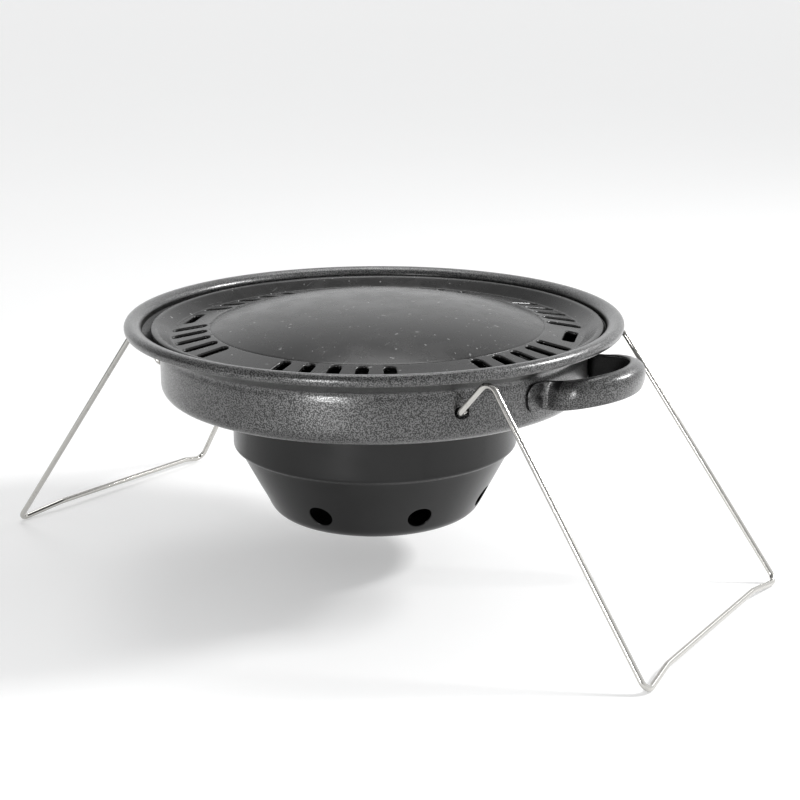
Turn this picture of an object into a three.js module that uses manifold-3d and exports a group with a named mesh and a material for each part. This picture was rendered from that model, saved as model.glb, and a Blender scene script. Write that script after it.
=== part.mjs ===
// Portable round tabletop charcoal grill: a hammertone water pan with two strap handles, a drop-in
// charcoal bowl with a wire grate, a slotted non-stick grill plate, and two folding wire legs.
// Millimetres, +Z up. The origin is on the table, under the axis of the pan. +X points to the right leg.
import * as THREE from "three";
import { mergeVertices } from "three/addons/utils/BufferGeometryUtils.js";
import Module from "manifold-3d";

const wasm = await Module();
wasm.setup();

// ---- driving dimensions ----
const RIM_R = 175; // outside of the pan's rolled rim
const RIM_TOP = 180;
const SHEET = 1.5; // sheet steel of the pan, the bowl and the handles
const WALL_R = 151; // outside of the pan's upright wall
const PAN_FLOOR = 127; // underside of the pan
const COLLAR_R = 103; // inside of the collar round the pan's central opening
const COLLAR_TOP = 147.3;
const GAP = 0.3; // between pieces that touch

const PLATE_R = 159;
const PLATE_TOP = 175;
const PLATE_SHEET = 3; // thickness of the domed middle
const DOME_R = 116.4;
const DOME_EDGE_Z = 172.6;
const DOME_RISE = 15.7;
const PLATE_SHIFT = [1.8, 1.2]; // the loose plate lies a little off centre on its ledge
const SLOT_GROUPS = 6;
const SLOTS_PER_GROUP = 5;
const SLOT_PITCH = 8.1; // degrees between the slots of a group
const SLOT_FIRST_GROUP = 52.2; // azimuth of the middle of one group
const SLOT_R = [120, 144];
const SLOT_WIDTH = 8;
const LIFT_SLOT_AZIMUTH = 22.2;
const LIFT_SLOT_R = 136;
const LIFT_SLOT = [8, 28.5];

const BOWL_R = 101.5;
const BOWL_STEP_Z = 87.6; // where the bowl's cylinder ends and its cone starts
const BOWL_CONE_TOP = [98, 86.3];
const BOWL_BASE_Z = 36.9;
const BOWL_FILLET = 13.3;
const BOWL_BASE_R = 64.2;
const BOWL_CONE_ANGLE = 27.7; // degrees between the cone's side and the upright
const AIR_HOLE_D = 18;
const AIR_HOLE_Z = 53.8;
const AIR_HOLE_ANGLES = [-132.5, -82.8, -33.2, 13.5, 67, 120.5, 174];

const GRATE_WIRE = 3;
const GRATE_R = 86; // centreline of the grate's ring
const GRATE_Z = 70.5;
const GRATE_BARS = 9;
const GRATE_PITCH = 17;
const GRATE_CROSS_Y = 40; // how far each cross bar lies from the middle

const HANDLE_AZIMUTH = 7.3;
const HANDLE_HALF_WIDTH = 40.3; // of the grip's top inner edge, where it meets the wall
const HANDLE_REACH = 187.9; // how far out that edge goes from the axis
const HANDLE_ROOT = 147; // the ellipse of that edge is centred this far out
const HANDLE_TOP = 158.2;
const HANDLE_TILT = 8.7; // degrees the grip rises outwards
const HANDLE_POWER = 2.1; // of the grip's outline, a little squarer than an ellipse
const HANDLE_STEPS = 16;
// The grip's section from its top edge: how far down, and how far outwards from the path.
const HANDLE_SECTION = [
  [0, 0],
  [0.2, 3.6],
  [2.8, 7.2],
  [8, 9],
  [13.4, 8.4],
  [17.2, 7],
];
const TAB_R = 151.3;
const TAB_HALF_WIDTH = 56.6;
const TAB_Z = [139.6, 158.2];

const LEG_WIRE = 4;
const LEG_PIVOT_R = 153.6; // just outside the wall
const PIVOT_HOLE_D = 9;
const PIN_LENGTH = 12;
const FOOT_RISE = [2.9, 4.1]; // the middle of the foot bar is this much further in and up than its ends
const FOOT_DROP = 0.45; // how far the sharp corners are below the rounded ones that stand on the table
// Each leg: its side of the pan, the height of its pivots, its half-widths at the pivots and on the table,
// the sharp corner of the hook that catches under the rim (x, z), and how far out its front and back
// corners stand, and how far from those corners the slopes of the foot bar end. The left leg is narrower
// and pivots lower, so the two nest; the wires are sprung a little out of square.
const LEGS = {
  leg_right: {
    side: 1,
    pivotZ: 147,
    topHalf: 88.3,
    footHalf: 105.8,
    hook: [147.8, 173.2],
    reach: [270.5, 266.5],
    slopes: [35, 36],
  },
  leg_left: {
    side: -1,
    pivotZ: 143,
    topHalf: 84,
    footHalf: 98.8,
    hook: [146.5, 170.5],
    reach: [267.5, 252.5],
    slopes: [40, 22],
  },
};

const LATHE_STEPS = 40;
const GRATE_STEPS = 32;
const WIRE_SIDES = 8;
const HOLE_SIDES = 12;
const PIVOT_CUT = 26; // length of the cylinders that cut the pivot holes
const AIR_CUT = 20; // and of those that cut the air holes

// ---- materials ----
function steel(name, color, roughness, metalness) {
  const material = new THREE.MeshStandardMaterial({ color, roughness, metalness });
  material.name = name;
  return material;
}
const hammertone = steel("hammertone_paint", 0x3a3b3c, 0.45, 0.3);
const nonstick = steel("nonstick_coating", 0x222324, 0.4, 0.1);
const enamel = steel("bowl_coating", 0x26272a, 0.5, 0.1);
const polished = steel("polished_wire", 0xc9cacc, 0.2, 1);
const grateWire = steel("grate_wire", 0x9a9b9c, 0.4, 1);

// ---- helpers ----
const radians = THREE.MathUtils.degToRad;

// A closed mesh as a manifold solid, for joining and cutting.
function solid(geometry) {
  const bare = geometry.clone();
  bare.deleteAttribute("normal");
  bare.deleteAttribute("uv");
  const merged = mergeVertices(bare, 1e-4);
  return new wasm.Manifold(
    new wasm.Mesh({
      numProp: 3,
      vertProperties: new Float32Array(merged.attributes.position.array),
      triVerts: new Uint32Array(merged.index.array),
    }),
  );
}

function geometryOf(manifold) {
  const mesh = manifold.getMesh();
  const geometry = new THREE.BufferGeometry();
  const positions = new Float32Array(mesh.numVert * 3);
  for (let i = 0; i < mesh.numVert; i += 1) {
    positions.set(mesh.vertProperties.subarray(i * mesh.numProp, i * mesh.numProp + 3), i * 3);
  }
  geometry.setAttribute("position", new THREE.BufferAttribute(positions, 3));
  geometry.setIndex(new THREE.BufferAttribute(mesh.triVerts, 1));
  geometry.computeVertexNormals();
  return geometry;
}

function mesh(name, geometry, material) {
  const made = new THREE.Mesh(geometry, material);
  made.name = name;
  return made;
}

// The closed outline of a sheet of even thickness round a middle line, given from its first end to its last.
function sheetOutline(line, thickness) {
  const sides = line.map(([r, z], i) => {
    const [r0, z0] = line[Math.max(i - 1, 0)];
    const [r1, z1] = line[Math.min(i + 1, line.length - 1)];
    const along = new THREE.Vector2(r1 - r0, z1 - z0).normalize().multiplyScalar(thickness / 2);
    return [new THREE.Vector2(r - along.y, z + along.x), new THREE.Vector2(r + along.y, z - along.x)];
  });
  return [...sides.map((s) => s[0]), ...sides.map((s) => s[1]).reverse()];
}

// A profile turned about +Z. LatheGeometry turns about +Y, so the result is stood up.
function turned(outline, steps = LATHE_STEPS) {
  const points = THREE.ShapeUtils.area(outline) < 0 ? [...outline].reverse() : [...outline];
  if (!(points[0].x === 0 && points.at(-1).x === 0)) points.push(points[0].clone());
  return new THREE.LatheGeometry(points, steps).rotateX(Math.PI / 2);
}

// Points of an arc in a profile, from one angle to another in degrees.
function arc(r, z, radius, from, to, steps) {
  return Array.from({ length: steps + 1 }, (_, i) => {
    const angle = radians(from + ((to - from) * i) / steps);
    return [r + radius * Math.cos(angle), z + radius * Math.sin(angle)];
  });
}

// A path through chosen stations, so that bends get many steps and straights only one.
class StationPath extends THREE.Curve {
  constructor(stations) {
    super();
    this.stations = stations;
  }

  getPoint(t) {
    const at = t * (this.stations.length - 1);
    const i = Math.min(Math.floor(at), this.stations.length - 2);
    return this.stations[i].clone().lerp(this.stations[i + 1], at - i);
  }

  getPointAt(u) {
    return this.getPoint(u);
  }

  getTangentAt(u) {
    const i = Math.round(u * (this.stations.length - 1));
    const before = this.stations[Math.max(i - 1, 0)];
    const after = this.stations[Math.min(i + 1, this.stations.length - 1)];
    const here = this.stations[i];
    const arriving = here.clone().sub(before).normalize();
    const leaving = after.clone().sub(here).normalize();
    return arriving.add(leaving).normalize();
  }

  getSpacedPoints() {
    return this.stations.map((p) => p.clone());
  }
}

// A polyline with every inner corner rounded to the bend radius stated with that corner.
function roundedStations(corners, steps = 4) {
  return corners.flatMap(({ at, bend }, i) => {
    if (!bend) return [at.clone()];
    const back = corners[i - 1].at.clone().sub(at).normalize();
    const ahead = corners[i + 1].at.clone().sub(at).normalize();
    const half = back.angleTo(ahead) / 2;
    const middle = back.clone().add(ahead).normalize();
    const centre = at.clone().addScaledVector(middle, bend / Math.sin(half));
    const first = at.clone().addScaledVector(back, bend / Math.tan(half)).sub(centre);
    const axis = back.clone().cross(ahead).normalize();
    const sweep = half * 2 - Math.PI;
    return Array.from({ length: steps + 1 }, (_, k) =>
      first.clone().applyAxisAngle(axis, (sweep * k) / steps).add(centre),
    );
  });
}

function swept(shape, stations) {
  return new THREE.ExtrudeGeometry(shape, {
    steps: stations.length - 1,
    extrudePath: new StationPath(stations),
    bevelEnabled: false,
  });
}

function roundSection(diameter, sides) {
  const points = Array.from({ length: sides }, (_, i) => {
    const angle = ((i + 0.5) * 2 * Math.PI) / sides;
    return new THREE.Vector2(Math.cos(angle), Math.sin(angle)).multiplyScalar(diameter / 2);
  });
  return new THREE.Shape(points);
}

// ---- water pan ----
// Its rolled rim, flange, ledge for the plate, neck, wall, floor and the collar round the opening.
function panBody() {
  const half = SHEET / 2;
  const corner = 8;
  const wall = WALL_R - half;
  const floor = PAN_FLOOR + half;
  const collar = COLLAR_R + half;
  const line = [
    [RIM_R - 1.7, 172.8],
    [RIM_R - half, 176.4],
    [RIM_R - 1.8, 178.4],
    [170.4, RIM_TOP - half],
    [165.1, 177.2],
    [163.9, 175.6],
    [163.9, 171.4],
    [149.4, 163.7],
    [147.7, 162.2],
    [147.7, 160.8],
    [wall, 158.6],
    ...arc(wall - corner, floor + corner, corner, 0, -90, 4),
    [collar + 2.5, floor],
    [collar, floor + 2.5],
    [collar, COLLAR_TOP],
  ];
  let body = solid(turned(sheetOutline(line, SHEET)));
  Object.values(LEGS).forEach(({ side, pivotZ, topHalf }) => {
    [-1, 1].forEach((end) => {
      const hole = new THREE.CylinderGeometry(PIVOT_HOLE_D / 2, PIVOT_HOLE_D / 2, PIVOT_CUT, HOLE_SIDES);
      hole.translate(side * pivotX(topHalf), end * (topHalf - PIN_LENGTH / 2), pivotZ);
      body = body.subtract(solid(hole));
    });
  });
  return mesh("pan_body", geometryOf(body), hammertone);
}

// ---- charcoal bowl ----
function bowlConeR(z) {
  const [coneR, coneZ] = BOWL_CONE_TOP;
  const slope = Math.tan(radians(BOWL_CONE_ANGLE));
  return coneR - (coneZ - z) * slope;
}

function charcoalBowl() {
  const half = SHEET / 2;
  const line = [
    [111.2, 145.6],
    [110.4, 147.9],
    [108.6, COLLAR_TOP + GAP + half],
    [BOWL_R + 1.6, COLLAR_TOP + GAP + half],
    [BOWL_R - half, 146],
    [BOWL_R - half, BOWL_STEP_Z],
    [BOWL_CONE_TOP[0] - half, BOWL_CONE_TOP[1] - 0.3],
    ...arc(BOWL_BASE_R, BOWL_BASE_Z + BOWL_FILLET, BOWL_FILLET - half, -BOWL_CONE_ANGLE, -90, 4),
    [0, BOWL_BASE_Z + half],
  ];
  // The line starts at the flange's turned-down edge and ends on the axis, where the outline is closed.
  const outline = sheetOutline(line, SHEET);
  outline.forEach((p) => {
    if (p.x < 1) p.x = 0;
  });
  const axisEnds = outline.filter((p) => p.x === 0);
  const start = outline.indexOf(axisEnds[1]);
  const ordered = [...outline.slice(start), ...outline.slice(0, start)];
  let body = solid(turned(ordered));
  for (const angle of AIR_HOLE_ANGLES) {
    const hole = new THREE.CylinderGeometry(AIR_HOLE_D / 2, AIR_HOLE_D / 2, AIR_CUT, HOLE_SIDES);
    hole.rotateZ(Math.PI / 2);
    hole.rotateY(radians(BOWL_CONE_ANGLE));
    hole.translate(bowlConeR(AIR_HOLE_Z), 0, AIR_HOLE_Z);
    hole.rotateZ(radians(angle));
    body = body.subtract(solid(hole));
  }
  return mesh("charcoal_bowl", geometryOf(body), enamel);
}

// ---- charcoal grate: a ring, bars laid on it and two cross bars under it ----
function grateBar(name, length, x, y, z, alongX) {
  const bar = new THREE.CylinderGeometry(GRATE_WIRE / 2, GRATE_WIRE / 2, length, WIRE_SIDES);
  if (alongX) bar.rotateZ(Math.PI / 2);
  const made = mesh(name, bar, grateWire);
  made.position.set(x, y, z);
  return made;
}

function chord(offset, r) {
  return 2 * Math.sqrt(r * r - offset * offset);
}

function charcoalGrate() {
  const grate = new THREE.Group();
  const section = roundSection(GRATE_WIRE, WIRE_SIDES).getPoints().slice(0, WIRE_SIDES);
  const ringOutline = section.map((p) => new THREE.Vector2(p.x + GRATE_R, p.y + GRATE_Z));
  grate.add(mesh("grate_ring", turned(ringOutline, GRATE_STEPS), grateWire));
  const over = GRATE_Z + GRATE_WIRE + GAP;
  const under = GRATE_Z - GRATE_WIRE - GAP;
  for (let i = 0; i < GRATE_BARS; i += 1) {
    const x = (i - (GRATE_BARS - 1) / 2) * GRATE_PITCH;
    grate.add(grateBar(`grate_bar_${i + 1}`, chord(x, GRATE_R), x, 0, over, false));
  }
  [-1, 1].forEach((side) => {
    const y = side * GRATE_CROSS_Y;
    const name = side < 0 ? "grate_cross_bar_front" : "grate_cross_bar_back";
    grate.add(grateBar(name, chord(y, GRATE_R - 2 * GRATE_WIRE), 0, y, under, true));
  });
  return grate;
}

// ---- grill plate ----
// A flat rim, a slotted drain band that rises inwards, a narrow groove and a domed middle.
function slotShape(length, width, roundEnds) {
  const shape = new THREE.Shape();
  const end = length / 2 - (roundEnds ? width / 2 : 0);
  const half = width / 2;
  shape.moveTo(-end, -half);
  shape.lineTo(end, -half);
  if (roundEnds) shape.absarc(end, 0, half, -Math.PI / 2, Math.PI / 2, false);
  else shape.lineTo(end, half);
  shape.lineTo(-end, half);
  if (roundEnds) shape.absarc(-end, 0, half, Math.PI / 2, (3 * Math.PI) / 2, false);
  return shape;
}

function slotCutter(r, azimuth, shape) {
  const cutter = new THREE.ExtrudeGeometry(shape, { depth: 30, bevelEnabled: false, curveSegments: 3 });
  cutter.translate(r, 0, PLATE_TOP - 22);
  cutter.rotateZ(radians(azimuth));
  return solid(cutter);
}

function grillPlate() {
  const dome = arc(0, 0, 1, 0, 90, 6).map(([c]) => [DOME_R * c, DOME_EDGE_Z + DOME_RISE * (1 - c * c)]);
  const top = [
    [PLATE_R, PLATE_TOP - 0.8],
    [PLATE_R - 0.8, PLATE_TOP],
    [155, PLATE_TOP],
    [145, 168],
    [118.4, 172.5],
    [117.4, 171.9],
    ...dome,
  ];
  const domeUnder = dome.map(([r, z]) => [r, z - PLATE_SHEET]).reverse();
  const bandUnder = [
    [118.4, 169.4],
    [145, 165.4],
    [147.2, 166.2],
  ];
  const rimUnder = [
    [156, 171.2],
    [PLATE_R, 171.2],
  ];
  const under = [...domeUnder, ...bandUnder, ...rimUnder];
  const outline = [...top, ...under].map(([r, z]) => new THREE.Vector2(r < 1e-6 ? 0 : r, z));
  const split = outline.findIndex((p, i) => i > 0 && p.x === 0 && outline[i - 1].x === 0);
  const ordered = [...outline.slice(split), ...outline.slice(0, split)];
  let plate = solid(turned(ordered));
  const radialSlot = slotShape(SLOT_R[1] - SLOT_R[0], SLOT_WIDTH, true);
  for (let group = 0; group < SLOT_GROUPS; group += 1) {
    for (let i = 0; i < SLOTS_PER_GROUP; i += 1) {
      const azimuth = SLOT_FIRST_GROUP + 60 * group + (i - (SLOTS_PER_GROUP - 1) / 2) * SLOT_PITCH;
      plate = plate.subtract(slotCutter((SLOT_R[0] + SLOT_R[1]) / 2, azimuth, radialSlot));
    }
  }
  [0, 180].forEach((turn) => {
    const liftSlot = slotShape(LIFT_SLOT[0], LIFT_SLOT[1], false);
    plate = plate.subtract(slotCutter(LIFT_SLOT_R, LIFT_SLOT_AZIMUTH + turn, liftSlot));
  });
  const made = mesh("grill_plate", geometryOf(plate), nonstick);
  made.position.set(PLATE_SHIFT[0], PLATE_SHIFT[1], 0);
  return made;
}

// ---- handles ----
// A stamped strap with a C section, open towards the pan, and a flat tab at each end on the wall.
function handle(name, azimuth) {
  const reach = HANDLE_REACH - HANDLE_ROOT;
  const arch = Array.from({ length: HANDLE_STEPS + 1 }, (_, i) => {
    const angle = (Math.PI * i) / HANDLE_STEPS;
    const c = Math.cos(angle);
    const u = HANDLE_HALF_WIDTH * Math.sign(c) * Math.abs(c) ** (2 / HANDLE_POWER);
    return new THREE.Vector3(u, HANDLE_ROOT + reach * Math.sin(angle) ** (2 / HANDLE_POWER), 0);
  });
  // The ends run on straight into the wall, and are cut to its curve at the end of this function.
  const root = (u) => new THREE.Vector3(u, HANDLE_ROOT - 8, 0);
  const stations = [root(HANDLE_HALF_WIDTH), ...arch, root(-HANDLE_HALF_WIDTH)];
  const outline = sheetOutline(HANDLE_SECTION, SHEET).map((p) => new THREE.Vector2(p.x, -p.y));
  const grip = swept(new THREE.Shape(outline), stations);
  grip.translate(0, -TAB_R, 0);
  grip.rotateX(radians(HANDLE_TILT));
  grip.translate(0, TAB_R, HANDLE_TOP - SHEET / 2);

  const tabArc = Math.asin(TAB_HALF_WIDTH / TAB_R);
  const tabStart = Math.asin((HANDLE_HALF_WIDTH - 4) / TAB_R);
  let body = solid(grip);
  [0, 1].forEach((side) => {
    const from = side ? Math.PI / 2 + tabStart : Math.PI / 2 - tabArc;
    const to = side ? Math.PI / 2 + tabArc : Math.PI / 2 - tabStart;
    const tab = new THREE.Shape();
    tab.absarc(0, 0, TAB_R + SHEET, from, to, false);
    tab.absarc(0, 0, TAB_R, to, from, true);
    const plate = new THREE.ExtrudeGeometry(tab, {
      depth: TAB_Z[1] - TAB_Z[0],
      bevelEnabled: false,
      curveSegments: 4,
    });
    plate.translate(0, 0, TAB_Z[0]);
    body = body.add(solid(plate));
  });
  const keepOut = new THREE.CylinderGeometry(TAB_R, TAB_R, 60, 96).rotateX(Math.PI / 2);
  keepOut.translate(0, 0, 150);
  body = body.subtract(solid(keepOut));
  const made = mesh(name, geometryOf(body), hammertone);
  made.rotation.z = radians(azimuth - 90);
  return made;
}

// ---- folding legs ----
function pivotX(halfWidth) {
  return Math.sqrt(LEG_PIVOT_R ** 2 - halfWidth ** 2);
}

// One bent wire: pin, arm, hook under the rim, straight leg, foot bar, and the same again at the back.
function leg(name) {
  const { side, pivotZ, topHalf, footHalf, hook, reach, slopes } = LEGS[name];
  const low = LEG_WIRE / 2;
  const pivot = pivotX(topHalf);
  const half = (end, out, slope) => {
    const point = (x, y, z) => new THREE.Vector3(side * x, end * y, z);
    const kink = out + ((reach[0] + reach[1]) / 2 - out) * (slope / footHalf);
    return [
      { at: point(pivot, topHalf - PIN_LENGTH, pivotZ) },
      { at: point(pivot, topHalf, pivotZ), bend: 3.4 },
      { at: point(hook[0], topHalf, hook[1]), bend: 7 },
      { at: point(out, footHalf, low - FOOT_DROP), bend: 6 },
      { at: point(kink - FOOT_RISE[0], footHalf - slope, low + FOOT_RISE[1]), bend: 24 },
    ];
  };
  const corners = [...half(-1, reach[0], slopes[0]), ...half(1, reach[1], slopes[1]).reverse()];
  const wire = swept(roundSection(LEG_WIRE, WIRE_SIDES), roundedStations(corners));
  return mesh(name, wire, polished);
}

const grill = new THREE.Group();
grill.add(panBody());
grill.add(charcoalBowl());
grill.add(charcoalGrate());
grill.add(grillPlate());
grill.add(handle("handle_right", HANDLE_AZIMUTH));
grill.add(handle("handle_left", HANDLE_AZIMUTH + 180));
Object.keys(LEGS).forEach((name) => grill.add(leg(name)));

export default grill;
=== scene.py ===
"""The looks of the portable tabletop grill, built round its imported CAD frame. Lengths are in millimetres until a mesh
is made, and in metres from there on. The origin is on the table, under the axis of the pan, and +Z is up."""

import math
import bmesh
import bpy
from mathutils import Matrix, Vector
from mathutils.geometry import delaunay_2d_cdt


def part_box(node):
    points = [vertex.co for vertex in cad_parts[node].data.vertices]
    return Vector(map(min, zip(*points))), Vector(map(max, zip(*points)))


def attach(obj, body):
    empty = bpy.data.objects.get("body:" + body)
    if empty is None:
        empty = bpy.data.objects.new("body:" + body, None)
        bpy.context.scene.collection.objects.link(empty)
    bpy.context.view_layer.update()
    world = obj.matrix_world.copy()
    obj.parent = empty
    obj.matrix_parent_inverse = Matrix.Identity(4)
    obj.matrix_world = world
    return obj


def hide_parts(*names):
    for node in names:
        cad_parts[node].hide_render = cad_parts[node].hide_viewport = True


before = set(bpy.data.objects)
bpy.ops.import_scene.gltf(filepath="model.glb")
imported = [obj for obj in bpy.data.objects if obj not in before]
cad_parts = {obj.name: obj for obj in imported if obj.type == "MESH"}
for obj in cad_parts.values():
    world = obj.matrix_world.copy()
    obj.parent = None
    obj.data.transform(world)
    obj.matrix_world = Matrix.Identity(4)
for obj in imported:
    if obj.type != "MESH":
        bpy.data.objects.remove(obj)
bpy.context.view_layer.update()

MM = 0.001

# ---- driving dimensions, in mm ----
SHEET = 1.5
PLATE_SHEET = 3.0
SEGMENTS = 288

# the pan: radii and heights of its sheet's middle line, and its pin holes with the foot and height of their band
WALL_R = 150.25
PAN_FLOOR = 127.75
PAN_LIP = (163.9, 173.4)
COLLAR_R = 103.75
COLLAR_TOP = 147.3
PIN_HOLE_HALF = (3.7, 5.0)
PIN_HOLE_SHIFT = 1.4
PIN_HOLE_BAND = (136.0, 22.0)

# the plate: how far it lies off the axis, its dome, and the slots of its drain band with angles in degrees
PLATE_SHIFT = (1.8, 1.2)
DOME_R = 116.4
DOME_EDGE_Z = 172.6
DOME_RISE = 15.7
DOME_POWER = 2.35
DOME_STEPS = 12
DRAIN_BAND = (118.2, 147.5)
SLOT_GROUPS = 6
SLOTS_PER_GROUP = 5
SLOT_PITCH = 8.1
SLOT_FIRST_GROUP = 52.2
SLOT_MIDDLE_R = 132.0
SLOT_HALF = (12.0, 4.0)
LIFT_SLOT_AZIMUTH = 22.2
LIFT_SLOT_R = 136.0
LIFT_SLOT_HALF = (4.0, 14.25)
LIFT_SLOT_CORNER = 2.2

# the bowl: its air holes with angles in degrees, its wall, the step over its cone as (radius, height), the corner
# under its cone as (radius of the centre, height of the centre, bend radius), and the heights between which soot shows
AIR_HOLE_R = 8.5
AIR_HOLE_Z = 53.8
AIR_HOLE_BAND = 12.0
AIR_HOLE_ANGLES = (-132.5, -82.8, -33.2, 13.5, 67, 120.5, 174)
BOWL_WALL_R = 100.75
BOWL_TOP = 148.35
BOWL_STEP = (97.0, 85.9)
BOWL_CONE_ANGLE = math.radians(27.7)
BOWL_CORNER = (64.2, 50.2, 12.55)
SOOT_BAND = (45.0, 70.0)

GRATE_WIRE = 3.0
GRATE_WIRE_SIDES = 14
GRATE_R = 86.0
GRATE_RING_Z = 70.5
GRATE_RING_STEPS = 96

# the handles: the grip's outline, its section as (down, out) points, and the tabs that lie on the pan's wall
HANDLE_AZIMUTH = 7.3
HANDLE_HALF_WIDTH = 40.3
HANDLE_REACH = 187.9
HANDLE_ROOT = 147.0
HANDLE_TOP = 157.45
HANDLE_TILT = math.radians(8.7)
HANDLE_TILT_RUN = 12.0
HANDLE_POWER = 2 / 2.1
HANDLE_STEP = 1.6
HANDLE_COLUMNS = 28
HANDLE_SECTION = [
    (0, 0),
    (0.1, 2.2),
    (0.9, 4.8),
    (3.0, 7.3),
    (5.6, 8.6),
    (8.4, 9.1),
    (11.4, 8.9),
    (14.4, 8.1),
    (17.4, 6.9),
]
TAB_R = 152.1
TAB_HALF_WIDTH = 56.6
TAB_HEIGHT = 18.6
TAB_CORNER = 7.0
TAB_BEND = 6.0
TAB_FLAT = 13.0
TAB_BLEND = 24.0
SPOT_WELD = dict(at=10.5, radius=4.2, depth=1.1, below_middle=1)

# the legs: for each, the side it stands on, the pins' height and half spacing, half the foot's width, the hook's top
# and how far out the front and back corners stand, with the run of the slopes from them
LEG_WIRE = 4.0
LEG_PIVOT_R = 153.6
PIN_LENGTH = 12.0
LEG_BENDS = dict(pin=3.4, hook=7, corner=6, kink=24)
FOOT_RISE = (2.9, 4.1)
FOOT_DROP = 0.45
LEGS = {
    "leg_right": dict(
        side=1, pivot_z=147, top=88.3, foot=105.8, hook=(147.8, 173.2), reach=(270.5, 266.5), slopes=(35, 36)
    ),
    "leg_left": dict(
        side=-1, pivot_z=143, top=84, foot=98.8, hook=(146.5, 170.5), reach=(267.5, 252.5), slopes=(40, 22)
    ),
}

# ---- the camera: angles in degrees, place in metres, lens and sensor in mm ----
VIEW_AZIMUTH = 34.0885
VIEW_ELEVATION = 15.7088
VIEW_ROLL = -0.1094
VIEW_FROM = (0.65548, -0.93670, 0.43759)
VIEW_LENS = 74.66
VIEW_SENSOR = 36.0


# ---- meshes ----
def piece(name, vertices, faces, body, nodes, slot, material, uvs=None):
    """A smooth-shaded object from points in mm, riding its body and standing for its CAD nodes."""
    mesh = bpy.data.meshes.new(name)
    mesh.from_pydata([tuple(c * MM for c in v) for v in vertices], [], faces)
    if uvs:
        layer = mesh.uv_layers.new(name="UVMap")
        for loop in mesh.loops:
            layer.data[loop.index].uv = uvs[loop.vertex_index]
    mesh.validate()
    solid = bmesh.new()
    solid.from_mesh(mesh)
    bmesh.ops.recalc_face_normals(solid, faces=solid.faces)
    solid.to_mesh(mesh)
    solid.free()
    mesh.shade_smooth()
    made = bpy.data.objects.new(name, mesh)
    bpy.context.scene.collection.objects.link(made)
    made.data.materials.append(material)
    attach(made, body)
    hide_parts(*nodes)
    return made


def fillet(points, steps=6):
    """A polyline of (x, y, radius) corners as points, with each corner rounded to its radius."""
    made = []
    for i, (x, y, radius) in enumerate(points):
        here = Vector((x, y))
        if not radius:
            made.append((x, y))
            continue
        back = (Vector(points[i - 1][:2]) - here).normalized()
        ahead = (Vector(points[i + 1][:2]) - here).normalized()
        half = back.angle(ahead) / 2
        centre = here + (back + ahead).normalized() * radius / math.sin(half)
        start = here + back * radius / math.tan(half) - centre
        sweep = math.pi - 2 * half
        turn = 1 if back.cross(ahead) < 0 else -1
        for k in range(steps + 1):
            angle = turn * sweep * k / steps
            c, s = math.cos(angle), math.sin(angle)
            made.append((centre.x + start.x * c - start.y * s, centre.y + start.x * s + start.y * c))
    return made


def spaced(points, step):
    """The same polyline with its long stretches divided, so that no step is longer than step."""
    made = [points[0]]
    for a, b in zip(points, points[1:]):
        count = max(1, math.ceil(math.dist(a, b) / step))
        made += [tuple(p + (q - p) * k / count for p, q in zip(a, b)) for k in range(1, count + 1)]
    return made


class Sheet:
    """A turned sheet: its middle line in (radius, height), from the inner end outwards, and its thickness."""

    def __init__(self, line, thickness, step=3.0):
        self.line = spaced(line, step)
        self.half = thickness / 2
        self.at = [0.0]
        for a, b in zip(self.line, self.line[1:]):
            self.at.append(self.at[-1] + math.dist(a, b))
        self.length = self.at[-1]

    def place(self, s):
        """The point at distance s along the line and the normal there, on the inner or upper side."""
        s = min(max(s, 0.0), self.length)
        i = max(k for k in range(len(self.at) - 1) if self.at[k] <= s)
        a, b = self.line[i], self.line[i + 1]
        t = (s - self.at[i]) / (self.at[i + 1] - self.at[i])
        before = self.line[max(i - 1, 0)]
        after = self.line[min(i + 2, len(self.line) - 1)]
        start = Vector((b[0] - before[0], b[1] - before[1])).normalized()
        end = Vector((after[0] - a[0], after[1] - a[1])).normalized()
        along = start.lerp(end, t).normalized()
        return a[0] + (b[0] - a[0]) * t, a[1] + (b[1] - a[1]) * t, -along.y, along.x

    def point(self, s, azimuth, height):
        r, z, nr, nz = self.place(s)
        r += nr * height
        return (max(r, 0.0) * math.cos(azimuth), max(r, 0.0) * math.sin(azimuth), z + nz * height)

    def run_to(self, radius):
        """The distance along the line at which it first reaches a radius on its way outwards."""
        for i in range(len(self.line) - 1):
            r0, r1 = self.line[i][0], self.line[i + 1][0]
            if r0 <= radius <= r1:
                return self.at[i] + (self.at[i + 1] - self.at[i]) * (radius - r0) / (r1 - r0)
        return self.length


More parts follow.
